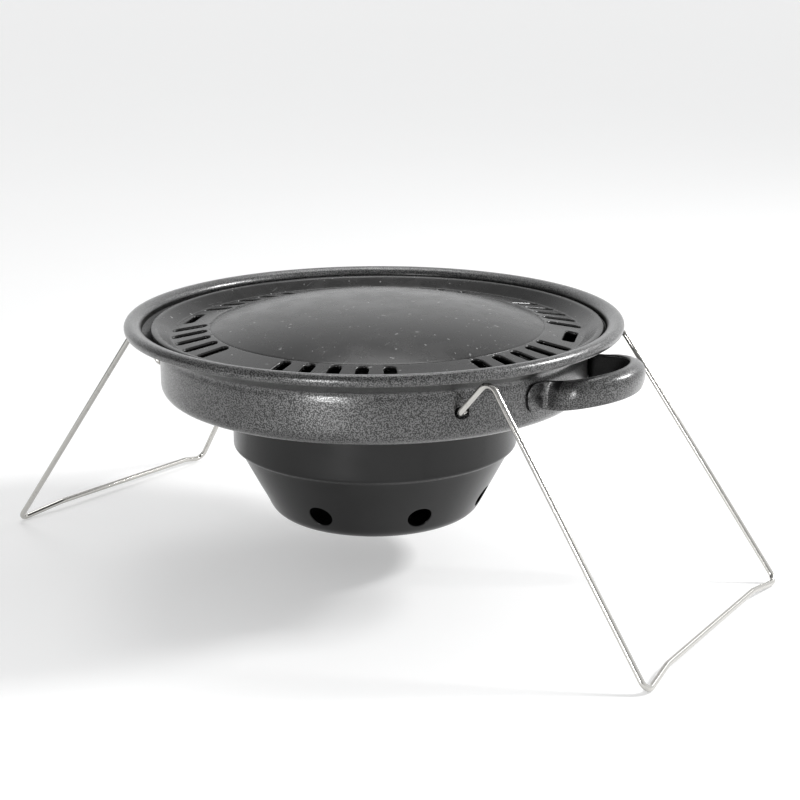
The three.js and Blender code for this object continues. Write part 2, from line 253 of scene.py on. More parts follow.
class Hole:
    """A rounded hole in a turned sheet. half holds half its size along the line and across it. A flat hole keeps its
    shape in plan, and any other keeps it in the unrolled sheet."""

    def __init__(self, sheet, s, azimuth, half, corner, flat=False):
        self.sheet, self.s, self.azimuth = sheet, s, azimuth
        self.half, self.corner, self.flat = half, corner, flat
        self.r = sheet.place(s)[0]

    def local(self, s, azimuth):
        if self.flat:
            r = self.sheet.place(s)[0]
            turn = azimuth - self.azimuth
            return r * math.cos(turn) - self.r, r * math.sin(turn)
        turn = (azimuth - self.azimuth + math.pi) % (2 * math.pi) - math.pi
        return s - self.s, turn * self.r

    def world(self, u, v):
        if self.flat:
            return self.sheet.run_to(math.hypot(self.r + u, v)), self.azimuth + math.atan2(v, self.r + u)
        return self.s + u, self.azimuth + v / self.r

    def distance(self, s, azimuth):
        u, v = self.local(s, azimuth)
        du = abs(u) - self.half[0] + self.corner
        dv = abs(v) - self.half[1] + self.corner
        return math.hypot(max(du, 0), max(dv, 0)) + min(max(du, dv), 0) - self.corner

    def outline(self, out, steps=8):
        """The hole's outline in (s, azimuth), moved outwards by a distance, with straight sides divided."""
        radius = self.corner + out
        a, b = self.half[0] - self.corner, self.half[1] - self.corner
        points = []
        for k, (su, sv) in enumerate(((1, 1), (-1, 1), (-1, -1), (1, -1))):
            for j in range(steps + 1):
                angle = math.pi / 2 * (k + j / steps)
                points.append((su * a + radius * math.cos(angle), sv * b + radius * math.sin(angle)))
            length = (2 * a, 2 * b)[k % 2]
            count = round(length / 2)
            if count:
                du, dv = [(-1, 0), (0, -1), (1, 0), (0, 1)][k]
                u, v = points[-1]
                points += [(u + du * length * i / count, v + dv * length * i / count) for i in range(1, count)]
        kept = [p for i, p in enumerate(points) if math.dist(p, points[i - 1]) > 0.01]
        return [self.world(u, v) for u, v in kept]


def edge_round(half, depth, steps=5):
    """(distance from the edge, height) from a sheet's upper side round its edge to its lower side."""
    return [
        (depth * (1 - math.sin(math.pi * k / steps)), half * math.cos(math.pi * k / steps))
        for k in range(1, steps)
    ]


class Builder:
    """The vertices and faces of one mesh in the making."""

    def __init__(self):
        self.vertices = []
        self.faces = []

    def add(self, points):
        first = len(self.vertices)
        self.vertices += points
        return list(range(first, len(self.vertices)))

    def strip(self, a, b, flip=False):
        """Quads between two closed loops of the same length."""
        n = len(a)
        for i in range(n):
            quad = (a[i], a[(i + 1) % n], b[(i + 1) % n], b[i])
            self.faces.append(quad[::-1] if flip else quad)


def pierced_band(build, sheet, rows, sides, holes, first, last):
    """Fills both sides of the sheet between two rows round the holes that lie there, and rounds the holes' edges.
    The band is laid out as a flat ring, and filled there with triangles."""
    support = 0.5
    spare = 0.9
    depth = sheet.half * 0.6
    ring_middle = 60.0
    plane, points, edges, group = [], [], [], []

    def put(s, azimuth, tag):
        radius = s + ring_middle
        plane.append(Vector((radius * math.cos(azimuth), radius * math.sin(azimuth))))
        points.append((s, azimuth))
        group.append(tag)

    def loop(start):
        count = len(plane) - start
        edges.extend((start + i, start + (i + 1) % count) for i in range(count))

    angles = [2 * math.pi * k / SEGMENTS for k in range(SEGMENTS)]
    for row in range(first, last + 1):
        border = row in (first, last)
        start = len(plane)
        for azimuth in angles:
            if border or all(h.distance(rows[row], azimuth) > depth + support + spare for h in holes):
                put(rows[row], azimuth, row if border else None)
        if border:
            loop(start)
    outlines = []
    for k, hole in enumerate(holes):
        start = len(plane)
        for s, azimuth in hole.outline(depth + support):
            put(s, azimuth, -1 - k)
        loop(start)
        outlines.append((hole, list(range(start, len(plane)))))
    result = delaunay_2d_cdt(plane, edges, [], 0, 1e-7)
    origin = [sources[0] for sources in result[3]]
    triangles = []
    for face in result[2]:
        corners = [origin[i] for i in face]
        tags = {group[c] for c in corners}
        if len(tags) == 1 and None not in tags:
            continue
        triangles.append(corners)
    for side, height in enumerate((sheet.half, -sheet.half)):
        index = {}
        for i, (s, azimuth) in enumerate(points):
            if group[i] in (first, last):
                index[i] = sides[side][group[i]][round(azimuth * SEGMENTS / (2 * math.pi)) % SEGMENTS]
            else:
                index[i] = build.add([sheet.point(s, azimuth, height)])[0]
        for corners in triangles:
            face = [index[c] for c in corners]
            build.faces.append(tuple(face if side == 0 else face[::-1]))
        for k, (hole, members) in enumerate(outlines):
            ring = [index[m] for m in members]
            if side == 0:
                hole.loops = [ring]
            else:
                hole.loops.append(ring)
    for hole, members in outlines:
        outer, inner = hole.loops
        chain = [outer]
        stops = [(depth, sheet.half)] + edge_round(sheet.half, depth) + [(depth, -sheet.half)]
        for out, height in stops:
            chain.append(build.add([sheet.point(s, azimuth, height) for s, azimuth in hole.outline(out)]))
        chain.append(inner)
        for a, b in zip(chain, chain[1:]):
            build.strip(b, a)


def turned_sheet(sheet, bands=()):
    """The closed mesh of a turned sheet. bands holds (first s, last s, holes) for its pierced stretches."""
    build = Builder()
    on_axis = sheet.line[0][0] < 1e-6
    end = sheet.half * 1.001
    rows = [s for s in sheet.at if (on_axis or s > sheet.half) and s < sheet.length - sheet.half]
    rows = (rows[1:] if on_axis else [end] + rows) + [sheet.length - end]
    angles = [2 * math.pi * k / SEGMENTS for k in range(SEGMENTS)]

    def ring(s, height):
        return build.add([sheet.point(s, a, height) for a in angles])

    sides = [[ring(s, height) for s in rows] for height in (sheet.half, -sheet.half)]
    skipped = set()
    for low, high, holes in bands:
        first = max(i for i, s in enumerate(rows) if s <= low)
        last = min(i for i, s in enumerate(rows) if s >= high)
        pierced_band(build, sheet, rows, sides, holes, first, last)
        skipped |= set(range(first, last))
    for i in range(len(rows) - 1):
        if i not in skipped:
            build.strip(sides[0][i + 1], sides[0][i])
            build.strip(sides[1][i], sides[1][i + 1])
    cap = edge_round(sheet.half, sheet.half)
    chain = [sides[0][-1]] + [ring(sheet.length - d, h) for d, h in cap] + [sides[1][-1]]
    for a, b in zip(chain, chain[1:]):
        build.strip(b, a)
    if on_axis:
        for side, height in enumerate((sheet.half, -sheet.half)):
            centre = build.add([sheet.point(0, 0, height)])[0]
            loop = sides[side][0]
            for k in range(SEGMENTS):
                face = (centre, loop[k], loop[(k + 1) % SEGMENTS])
                build.faces.append(face if side == 0 else face[::-1])
    else:
        chain = [sides[0][0]] + [ring(d, h) for d, h in cap] + [sides[1][0]]
        for a, b in zip(chain, chain[1:]):
            build.strip(a, b)
    return build


def curve_point(points, i, t):
    """A point of the smooth curve through points (Catmull-Rom), at share t of the way from point i to the next."""
    last = len(points) - 1
    a, b, c, d = (Vector(points[min(max(k, 0), last)]) for k in (i - 1, i, i + 1, i + 2))
    return 0.5 * (2 * b + (c - a) * t + (2 * a - 5 * b + 4 * c - d) * t**2 + (3 * b - a - 3 * c + d) * t**3)


def smooth_curve(points, steps=4):
    """The smooth curve through profile points, as a finer polyline."""
    made = [tuple(curve_point(points, i, k / steps)) for i in range(len(points) - 1) for k in range(steps)]
    return made + [tuple(points[-1])]


# ---- the pan ----
def pivot_x(half_width):
    return math.sqrt(LEG_PIVOT_R**2 - half_width**2)


def pan_line():
    """The pan's middle line: collar, floor, wall, neck, flange and rolled rim."""
    body = fillet(
        [
            (COLLAR_R, COLLAR_TOP, 0),
            (COLLAR_R, PAN_FLOOR, 2.5),
            (WALL_R, PAN_FLOOR, 8),
            (WALL_R, 156.6, 14),
            (149.2, 162.4, 4.5),
            (163.9, 171.4, 1.6),
            (*PAN_LIP, 0),
        ]
    )
    lip = smooth_curve(
        [
            PAN_LIP,
            (164.0, 175.4),
            (165.2, 177.3),
            (167.7, 178.6),
            (170.4, 179.25),
            (172.7, 178.7),
            (174.1, 176.8),
            (174.1, 174.6),
            (173.2, 172.8),
        ]
    )
    return body + lip[1:]


def pan(material):
    sheet = Sheet(pan_line(), SHEET)
    wall = [(s, z) for s, (r, z) in zip(sheet.at, sheet.line) if r > WALL_R - 0.1]
    low = max(s for s, (r, z) in zip(sheet.at, sheet.line) if z < PIN_HOLE_BAND[0])
    holes = []
    for leg in LEGS.values():
        x = leg["side"] * pivot_x(leg["top"])
        for end in (-1, 1):
            y = end * (math.sqrt(WALL_R**2 - x * x) + PIN_HOLE_SHIFT)
            _, s, z = min((abs(z - leg["pivot_z"]), s, z) for s, z in wall)
            s += leg["pivot_z"] - z
            azimuth = math.atan2(y, x) % (2 * math.pi)
            holes.append(Hole(sheet, s, azimuth, PIN_HOLE_HALF, min(PIN_HOLE_HALF)))
    build = turned_sheet(sheet, [(low, low + PIN_HOLE_BAND[1], holes)])
    # the paint reads a UV map to find the hollow sides, where it paints shade, and the pan has none, so its map is all
    # zeros
    outer = [(0.0, 0.0)] * len(build.vertices)
    mesh = (build.vertices, build.faces)
    return piece("pan_pressing", *mesh, "pan", ["pan_body"], "hammertone_paint", material, outer)


# ---- the grill plate ----
def plate_line():
    """The plate's middle line, half a thickness under its top: dome, groove, drain band, flared rim."""
    half = PLATE_SHEET / 2
    dome = []
    for k in range(DOME_STEPS):
        share = k / DOME_STEPS
        dome.append((DOME_R * k / DOME_STEPS, DOME_EDGE_Z + DOME_RISE * (1 - share**DOME_POWER) - half))
    outer = fillet(
        [
            (DOME_R, DOME_EDGE_Z - half, 0),
            (117.4, 171.9 - half, 0.5),
            (118.3, 172.5 - half, 0.5),
            (145.4, 168.0 - half, 4),
            (155.4, 174.9 - half, 3),
            (159.0, 175.0 - half, 0),
        ]
    )
    return smooth_curve(dome + [outer[0]], 3) + outer[1:]


def plate(material):
    sheet = Sheet(plate_line(), PLATE_SHEET, 2.5)
    holes = []
    slot_s = sheet.run_to(SLOT_MIDDLE_R)
    for group in range(SLOT_GROUPS):
        for i in range(SLOTS_PER_GROUP):
            turn = SLOT_FIRST_GROUP + 360 // SLOT_GROUPS * group + (i - (SLOTS_PER_GROUP - 1) / 2) * SLOT_PITCH
            azimuth = math.radians(turn) % (2 * math.pi)
            holes.append(Hole(sheet, slot_s, azimuth, SLOT_HALF, SLOT_HALF[1], flat=True))
    lift_s = sheet.run_to(LIFT_SLOT_R)
    for turn in (0, 180):
        azimuth = math.radians(LIFT_SLOT_AZIMUTH + turn)
        holes.append(Hole(sheet, lift_s, azimuth, LIFT_SLOT_HALF, LIFT_SLOT_CORNER, flat=True))
    low, high = (sheet.run_to(r) for r in DRAIN_BAND)
    build = turned_sheet(sheet, [(low, high, holes)])
    vertices = [(x + PLATE_SHIFT[0], y + PLATE_SHIFT[1], z) for x, y, z in build.vertices]
    return piece("slotted_plate", vertices, build.faces, "plate", ["grill_plate"], "nonstick_plate", material)


# ---- the charcoal bowl ----
def bowl_line():
    """The bowl's middle line: base, rounded corner, cone, step, wall and flange."""
    r, z, bend = BOWL_CORNER
    arc = []
    for k in range(11):
        a = -math.pi / 2 + (math.pi / 2 - BOWL_CONE_ANGLE) * k / 10
        arc.append((r + bend * math.cos(a), z + bend * math.sin(a)))
    top = fillet(
        [
            (arc[-1][0], arc[-1][1], 0),
            (*BOWL_STEP, 4.0),
            (BOWL_WALL_R, 87.4, 2.4),
            (BOWL_WALL_R, BOWL_TOP, 2.4),
            (109.6, BOWL_TOP, 1.5),
            (111.2, 145.4, 0),
        ]
    )
    return [(0.0, z - bend)] + arc + top[1:]


def bowl(material):
    sheet = Sheet(bowl_line(), SHEET, 4.0)
    _, middle, z = min((abs(z - AIR_HOLE_Z), s, z) for s, (r, z) in zip(sheet.at, sheet.line))
    middle += (AIR_HOLE_Z - z) / math.cos(BOWL_CONE_ANGLE)
    holes = []
    for angle in AIR_HOLE_ANGLES:
        azimuth = math.radians(angle) % (2 * math.pi)
        holes.append(Hole(sheet, middle, azimuth, (AIR_HOLE_R, AIR_HOLE_R), AIR_HOLE_R))
    build = turned_sheet(sheet, [(middle - AIR_HOLE_BAND, middle + AIR_HOLE_BAND, holes)])
    return piece("bowl_pressing", build.vertices, build.faces, "bowl", ["charcoal_bowl"], "bowl_coating", material)


# ---- wires ----
def bent(corners, steps=8):
    """A polyline of (point, bend radius) corners as stations, with each corner bent to its radius."""
    made = []
    for i, (at, bend) in enumerate(corners):
        if not bend:
            made.append(at)
            continue
        back = (corners[i - 1][0] - at).normalized()
        ahead = (corners[i + 1][0] - at).normalized()
        half = back.angle(ahead) / 2
        centre = at + (back + ahead).normalized() * bend / math.sin(half)
        start = at + back * bend / math.tan(half) - centre
        axis = back.cross(ahead).normalized()
        sweep = 2 * half - math.pi
        made += [Matrix.Rotation(sweep * k / steps, 3, axis) @ start + centre for k in range(steps + 1)]
    return made


def wire(name, stations, diameter, body, node, slot, material, closed=False, sides=20):
    """A round wire through its stations, with its cut ends slightly rounded."""
    radius = diameter / 2
    count = len(stations)
    build = Builder()
    uvs = []
    tangents = []
    for i in range(count):
        if closed:
            before, after = stations[i - 1], stations[(i + 1) % count]
        else:
            before, after = stations[max(i - 1, 0)], stations[min(i + 1, count - 1)]
        here = stations[i]
        both = Vector((0, 0, 0))
        for step in (here - before, after - here):
            if step.length > 1e-9:
                both += step.normalized()
        tangents.append(both.normalized())
    side = tangents[0].orthogonal().normalized()
    run = 0.0
    rings = []

    def ring(centre, tangent, r, at):
        other = tangent.cross(side)
        points = []
        for k in range(sides):
            a = 2 * math.pi * k / sides
            points.append(tuple(centre + (side * math.cos(a) + other * math.sin(a)) * r))
            uvs.append((k / sides, at * MM))
        rings.append(build.add(points))

    bevel = radius * 0.25
    middle = bevel * 0.3
    if not closed:
        ring(stations[0], tangents[0], radius - bevel, 0)
        ring(stations[0] + tangents[0] * middle, tangents[0], radius - middle, 0)
        stations = list(stations)
        stations[0] = stations[0] + tangents[0] * bevel
        tail = stations[-1]
        stations[-1] = tail - tangents[-1] * bevel
    for i in range(count):
        if i:
            run += (stations[i] - stations[i - 1]).length
            turn = tangents[i - 1].rotation_difference(tangents[i])
            side = turn @ side
            side = (side - tangents[i] * side.dot(tangents[i])).normalized()
        ring(stations[i], tangents[i], radius, run)
    if closed:
        rings.append(rings[0])
    else:
        ring(tail - tangents[-1] * middle, tangents[-1], radius - middle, run)
        ring(tail, tangents[-1], radius - bevel, run)
    for a, b in zip(rings, rings[1:]):
        build.strip(a, b)
    if not closed:
        build.faces.append(tuple(reversed(rings[0])))
        build.faces.append(tuple(rings[-1]))
    return piece(name, build.vertices, build.faces, body, [node], slot, material, uvs)


def leg(name, material):
    """A folding leg: two pins, hooks and arms, with a foot bar that rises by slopes from both corners."""
    spec = LEGS[name]
    low = LEG_WIRE / 2
    middle = sum(spec["reach"]) / 2
    pivot = pivot_x(spec["top"])

    def half(end, out, slope):
        def point(x, y, z):
            return Vector((spec["side"] * x, end * y, z))

        foot = spec["foot"]
        kink = out + (middle - out) * slope / foot
        return [
            (point(pivot, spec["top"] - PIN_LENGTH, spec["pivot_z"]), 0),
            (point(pivot, spec["top"], spec["pivot_z"]), LEG_BENDS["pin"]),
            (point(spec["hook"][0], spec["top"], spec["hook"][1]), LEG_BENDS["hook"]),
            (point(out, foot, low - FOOT_DROP), LEG_BENDS["corner"]),
            (point(kink - FOOT_RISE[0], foot - slope, low + FOOT_RISE[1]), LEG_BENDS["kink"]),
        ]

    front, back = zip(spec["reach"], spec["slopes"])
    corners = half(-1, *front) + half(1, *back)[::-1]
    body = {"leg_right": "right_leg", "leg_left": "left_leg"}[name]
    return wire(name + "_wire", bent(corners), LEG_WIRE, body, name, "polished_wire", material)


def grate(material):
    """The charcoal grate: a ring, and the bars where the CAD frame has them."""
    turns = [2 * math.pi * k / GRATE_RING_STEPS for k in range(GRATE_RING_STEPS)]
    circle = [Vector((GRATE_R * math.cos(a), GRATE_R * math.sin(a), GRATE_RING_Z)) for a in turns]
    look = ("grate_wire", material)
    wire("grate_ring_wire", circle, GRATE_WIRE, "grate", "grate_ring", *look, True, GRATE_WIRE_SIDES)
    bars = [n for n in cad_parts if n.startswith("grate_") and n != "grate_ring"]
    for node in sorted(bars):
        lo, hi = (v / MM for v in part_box(node))
        middle = (lo + hi) / 2
        along = Vector((1, 0, 0)) if hi.x - lo.x > hi.y - lo.y else Vector((0, 1, 0))
        length = (hi - lo).dot(along)
        stations = [middle + along * length * (k / 8 - 0.5) for k in range(9)]
        wire(node + "_wire", stations, GRATE_WIRE, "grate", node, *look, sides=GRATE_WIRE_SIDES)


# ---- the handles ----
def section_point(share, depth):
    """A point of the strap's section, from its top edge down: flat at depth 0, a full channel at depth 1."""
    at = share * (len(HANDLE_SECTION) - 1)
    i = min(int(at), len(HANDLE_SECTION) - 2)
    down, out = curve_point(HANDLE_SECTION, i, at - i)
    return down * depth + TAB_HEIGHT * share * (1 - depth), out * depth


def handle_path():
    """Half of the strap's plan, from the tab's end to the middle of the grip: (across, out) points."""
    points = []
    join = HANDLE_HALF_WIDTH + TAB_BEND
    start = math.asin(TAB_HALF_WIDTH / TAB_R)
    end = math.asin(join / TAB_R)
    for k in range(16):
        a = start + (end - start) * k / 15
        points.append((TAB_R * math.sin(a), TAB_R * math.cos(a)))
    base = TAB_R * math.cos(end)
    for k in range(1, 9):
        a = math.pi / 2 * k / 8
        points.append((join - TAB_BEND * math.sin(a), base + TAB_BEND * (1 - math.cos(a))))
    reach = HANDLE_REACH - HANDLE_ROOT
    # the grip starts a little past the bend, so that the two don't double back
    begin = math.asin(((base + TAB_BEND - HANDLE_ROOT) / reach) ** (1 / HANDLE_POWER)) + 0.05
    for k in range(33):
        a = begin + (math.pi / 2 - begin) * k / 32
        across = HANDLE_HALF_WIDTH * math.cos(a) ** HANDLE_POWER
        points.append((across, HANDLE_ROOT + reach * math.sin(a) ** HANDLE_POWER))
    return points


def thick_grid(grid, thickness, steps=4):
    """A closed solid round a grid of points, which is its middle surface, with a round edge all about."""
    build = Builder()
    rows, columns = len(grid), len(grid[0])
    half = thickness / 2

    def step(i, j, di, dj):
        a = grid[max(i - di, 0)][max(j - dj, 0)]
        b = grid[min(i + di, rows - 1)][min(j + dj, columns - 1)]
        return (b - a).normalized()

    def shifted(i, sign):
        return build.add([tuple(grid[i][j] + normals[i][j] * half * sign) for j in range(columns)])

    normals = []
    for i in range(rows):
        normals.append([step(i, j, 1, 0).cross(step(i, j, 0, 1)).normalized() for j in range(columns)])
    sides = [[shifted(i, sign) for i in range(rows)] for sign in (1, -1)]
    for i in range(rows - 1):
        for j in range(columns - 1):
            for side in (0, 1):
                s = sides[side]
                quad = (s[i][j], s[i + 1][j], s[i + 1][j + 1], s[i][j + 1])
                build.faces.append(quad if side == 0 else quad[::-1])
    border = [(0, j) for j in range(columns)] + [(i, columns - 1) for i in range(1, rows)]
    border += [(rows - 1, j) for j in range(columns - 2, -1, -1)] + [(i, 0) for i in range(rows - 2, 0, -1)]
    chain = [[sides[0][i][j] for i, j in border]]
    for k in range(1, steps):
        angle = math.pi * k / steps
        loop = []
        for i, j in border:
            out = Vector((0, 0, 0))
            if i in (0, rows - 1):
                out += step(i, j, 1, 0) * (-1 if i == 0 else 1)
            if j in (0, columns - 1):
                out += step(i, j, 0, 1) * (-1 if j == 0 else 1)
            out.normalize()
            loop.append(tuple(grid[i][j] + (normals[i][j] * math.cos(angle) + out * math.sin(angle)) * half))
        chain.append(build.add(loop))
    chain.append([sides[1][i][j] for i, j in border])
    for a, b in zip(chain, chain[1:]):
        build.strip(a, b, flip=True)
    return build


def handle(name, azimuth, material):
    """A strap handle: a channel along the grip that runs out into flat tabs, each with its spot weld's dimple."""
    half = spaced(handle_path(), HANDLE_STEP)
    path = half + [(-u, v) for u, v in half[::-1][1:]]
    run = [0.0]
    for a, b in zip(path, path[1:]):
        run.append(run[-1] + math.dist(a, b))
    grid = []
    for i, (across, out) in enumerate(path):
        end = min(run[i], run[-1] - run[i])
        share = min(max((end - TAB_FLAT) / TAB_BLEND, 0), 1)
        depth = share * share * (3 - 2 * share)
        before, after = Vector(path[max(i - 1, 0)]), Vector(path[min(i + 1, len(path) - 1)])
        along = (after - before).normalized()
        outward = Vector((along.y, -along.x))
        inset = 0.0
        if end < TAB_CORNER:
            inset = TAB_CORNER - math.sqrt(TAB_CORNER**2 - (TAB_CORNER - end) ** 2)
        edge = inset / TAB_HEIGHT
        row = []
        for j in range(HANDLE_COLUMNS + 1):
            place = edge + (1 - 2 * edge) * j / HANDLE_COLUMNS
            down, bulge = section_point(place, depth)
            if depth < 0.5:
                r = math.hypot(end - SPOT_WELD["at"], down - TAB_HEIGHT / 2 + SPOT_WELD["below_middle"])
                if r < SPOT_WELD["radius"]:
                    bulge -= SPOT_WELD["depth"] * (1 - (r / SPOT_WELD["radius"]) ** 2) ** 2
            p = Vector((across, out)) + outward * bulge
            z = HANDLE_TOP - down
            beyond = p.y - TAB_R
            if beyond > 0:
                tilt = min(beyond / HANDLE_TILT_RUN, 1)
                z += math.tan(HANDLE_TILT) * (beyond - HANDLE_TILT_RUN / 4 * tilt * (2 - tilt))
            row.append(Vector((p.x, p.y, z)))
        grid.append(row)
    build = thick_grid(grid, SHEET)
    turn = Matrix.Rotation(math.radians(azimuth - 90), 3, "Z")
    vertices = [tuple(turn @ Vector(v)) for v in build.vertices]
    # the hollow side's vertices come first; their U of 1 tells the paint to paint shade there
    hollow = len(grid) * len(grid[0])
    uvs = [(1.0 if k < hollow else 0.0, 0.0) for k in range(len(vertices))]
    return piece(name + "_strap", vertices, build.faces, "pan", [name], "hammertone_paint", material, uvs)


# ---- materials ----
class Nodes:
    """A short way to write a node tree."""

    def __init__(self, tree):
        self.tree = tree
        self.where = tree.nodes.new("ShaderNodeTexCoord")

    def link(self, output, target):
        self.tree.links.new(output, target)

    def coordinates(self, scale=(1, 1, 1), space="Object"):
        mapping = self.tree.nodes.new("ShaderNodeMapping")
        mapping.inputs["Scale"].default_value = scale
        self.link(self.where.outputs[space], mapping.inputs["Vector"])
        return mapping.outputs["Vector"]

    def noise(self, scale, detail=2.0, roughness=0.5, vector=None, distortion=0.0):
        node = self.tree.nodes.new("ShaderNodeTexNoise")
        node.inputs["Scale"].default_value = scale
        node.inputs["Detail"].default_value = detail
        node.inputs["Roughness"].default_value = roughness
        node.inputs["Distortion"].default_value = distortion
        self.link(vector or self.where.outputs["Object"], node.inputs["Vector"])
        return node.outputs["Fac"]

    def range(self, value, low, high, to_low=0.0, to_high=1.0, smooth=True):
        node = self.tree.nodes.new("ShaderNodeMapRange")
        node.interpolation_type = "SMOOTHSTEP" if smooth else "LINEAR"
        for key, number in zip(("From Min", "From Max", "To Min", "To Max"), (low, high, to_low, to_high)):
            node.inputs[key].default_value = number
        self.link(value, node.inputs["Value"])
        return node.outputs["Result"]

    def math(self, kind, a, b):
        node = self.tree.nodes.new("ShaderNodeMath")
        node.operation = kind
        for socket, value in zip(node.inputs, (a, b)):
            if isinstance(value, (int, float)):
                socket.default_value = value
            else:
                self.link(value, socket)
        return node.outputs[0]

    def part(self, space, axis):
        node = self.tree.nodes.new("ShaderNodeSeparateXYZ")
        self.link(self.where.outputs[space], node.inputs[0])
        return node.outputs[axis]

    def radius(self):
        """The distance from the object's axis, in metres."""
        squares = [self.math("MULTIPLY", at, at) for at in (self.part("Object", "X"), self.part("Object", "Y"))]
        return self.math("SQRT", self.math("ADD", *squares), 0)

    # the paint uses this mask to paint shade on the pan's inner side
    def inner_side(self, radius):
        """1 where a surface nearer the axis than a radius faces upwards or towards the axis, else 0."""
        x, y = self.part("Object", "X"), self.part("Object", "Y")
        far = self.radius()
        dot = [self.math("MULTIPLY", self.part("Normal", axis), at) for axis, at in (("X", x), ("Y", y))]
        inwards = self.math("MULTIPLY", self.math("DIVIDE", self.math("ADD", *dot), far), -1.0)
        faces = self.math("MAXIMUM", inwards, self.part("Normal", "Z"))
        return self.math("MULTIPLY", self.range(faces, 0.1, 0.5), self.range(far, radius, radius - 0.0015))

    def mix(self, share, a, b):
        """Two colours or greys mixed by a share."""
        node = self.tree.nodes.new("ShaderNodeMix")
        node.data_type = "RGBA"
        sockets = {(s.name, s.type): s for s in reversed(node.inputs[:])}
        for key, value in ((("Factor", "VALUE"), share), (("A", "RGBA"), a), (("B", "RGBA"), b)):
            socket = sockets[key]
            if isinstance(value, (int, float)):
                socket.default_value = value
            elif isinstance(value, tuple):
                socket.default_value = value + (1,)
            else:
                self.link(value, socket)
        return next(s for s in node.outputs if s.type == "RGBA")

    def bump(self, height, distance, strength):
        """A bump normal. The distance is in mm."""
        node = self.tree.nodes.new("ShaderNodeBump")
        node.inputs["Distance"].default_value = distance * MM
        node.inputs["Strength"].default_value = strength
        self.link(height, node.inputs["Height"])
        return node.outputs["Normal"]


class Look(Nodes):
    """A material, and its one shader."""

    def __init__(self, name):
        self.material = bpy.data.materials.new(name)
        self.material.use_nodes = True
        super().__init__(self.material.node_tree)
        self.shader = self.tree.nodes["Principled BSDF"]

    def set(self, **values):
        for key, value in values.items():
            self.shader.inputs[key.replace("_", " ")].default_value = value

    def shade(self, output, name):
        self.link(output, self.shader.inputs[name])


def grey(value):
    return (value, value, value)


# Scales of the noise are waves per metre. Ranges give the share of it that shows, then what it is turned into.
def hammertone():
    """Hammertone paint: light worm-like flakes over a dark ground, under a gloss coat. Painted shade turns the pan's
    inner side near black, under a thinner coat, and the handles' hollow side near black, with no coat. There the
    UV's first number is 1."""
    m = Look("hammertone_paint")
    worms = m.range(m.noise(1220, 1.0, 0.45, distortion=0.3), 0.45, 0.57)
    cloud = m.range(m.noise(35, 3), 0.3, 0.7)
    dark = m.mix(cloud, grey(0.008), grey(0.011))
    light = m.mix(cloud, grey(0.115), grey(0.142))
    hollow = m.part("UV", "X")
    # painted shade: the pan's inner side, within about 164 mm of the axis and facing up or inwards, is turned near
    # black with grey 0.014
    inner = m.inner_side(0.164)
    shaded = m.mix(inner, m.mix(worms, dark, light), grey(0.014))
    # painted shade: the handles' hollow side, where U is 1, is turned near black with grey 0.012
    m.shade(m.mix(hollow, shaded, grey(0.012)), "Base Color")
    m.shade(m.range(worms, 0, 1, 0.42, 0.34), "Roughness")
    m.shade(m.bump(worms, 0.15, 0.7), "Normal")
    # the coat is cut to a quarter where shade is painted on the pan's inner side, and left off the painted-shade hollow
    # side of the handles
    covered = m.math("MULTIPLY", m.math("SUBTRACT", 1.0, hollow), m.range(inner, 0, 1, 1.0, 0.25))
    m.shade(covered, "Coat Weight")
    m.set(Metallic=0.9, Coat_Roughness=0.28)
    return m.material


def nonstick():
    """Satin non-stick coating with fine pits, soft mottling and a few light scratches."""
    m = Look("nonstick_coating")
    mottle = m.noise(60, 4, 0.6)
    grain = m.noise(1400, 2)
    specks = m.range(m.noise(260, 1), 0.72, 0.76)
    scratches = m.range(m.noise(1.0, 2, 0.5, m.coordinates((520, 46, 60))), 0.70, 0.74)
    base = m.mix(m.range(mottle, 0.35, 0.7), (0.006, 0.0057, 0.0055), (0.011, 0.0107, 0.0105))
    worn = m.mix(scratches, base, grey(0.05))
    m.shade(m.mix(specks, worn, grey(0.2)), "Base Color")
    m.shade(m.range(mottle, 0.3, 0.75, 0.23, 0.31), "Roughness")
    m.shade(m.bump(grain, 0.03, 0.35), "Normal")
    return m.material


def soot(m):
    """1 inside the cone of the bowl below the grate and on the cut edges of the air holes, else 0."""
    across = m.math("MULTIPLY", m.math("SUBTRACT", m.radius(), BOWL_STEP[0] * MM), math.cos(BOWL_CONE_ANGLE))
    height = m.part("Object", "Z")
    down = m.math("MULTIPLY", m.math("SUBTRACT", height, BOWL_STEP[1] * MM), math.sin(BOWL_CONE_ANGLE))
    outside = m.math("SUBTRACT", across, down)
    inside = m.range(outside, 0.0005, 0.0003)
    low, high = (v * MM for v in SOOT_BAND)
    band = m.math("MULTIPLY", m.range(height, low, low + 0.0005), m.range(height, high, high - 0.004))
    return m.math("MULTIPLY", inside, band)


def satin_black():
    """The bowl's satin black coating, with dull soot inside and in the air holes."""
    m = Look("bowl_coating")
    mottle = m.noise(45, 3, 0.55)
    grain = m.noise(1500, 2)
    sooty = soot(m)
    coat = m.mix(m.range(mottle, 0.3, 0.7), grey(0.003), grey(0.005))
    m.shade(m.mix(sooty, coat, grey(0.002)), "Base Color")
    m.shade(m.range(sooty, 0, 1, 0.36, 0.0), "Specular IOR Level")
    m.shade(m.math("ADD", m.range(mottle, 0.3, 0.7, 0.20, 0.26), m.range(sooty, 0, 1, 0, 0.5)), "Roughness")
    m.shade(m.bump(grain, 0.02, 0.3), "Normal")
    return m.material


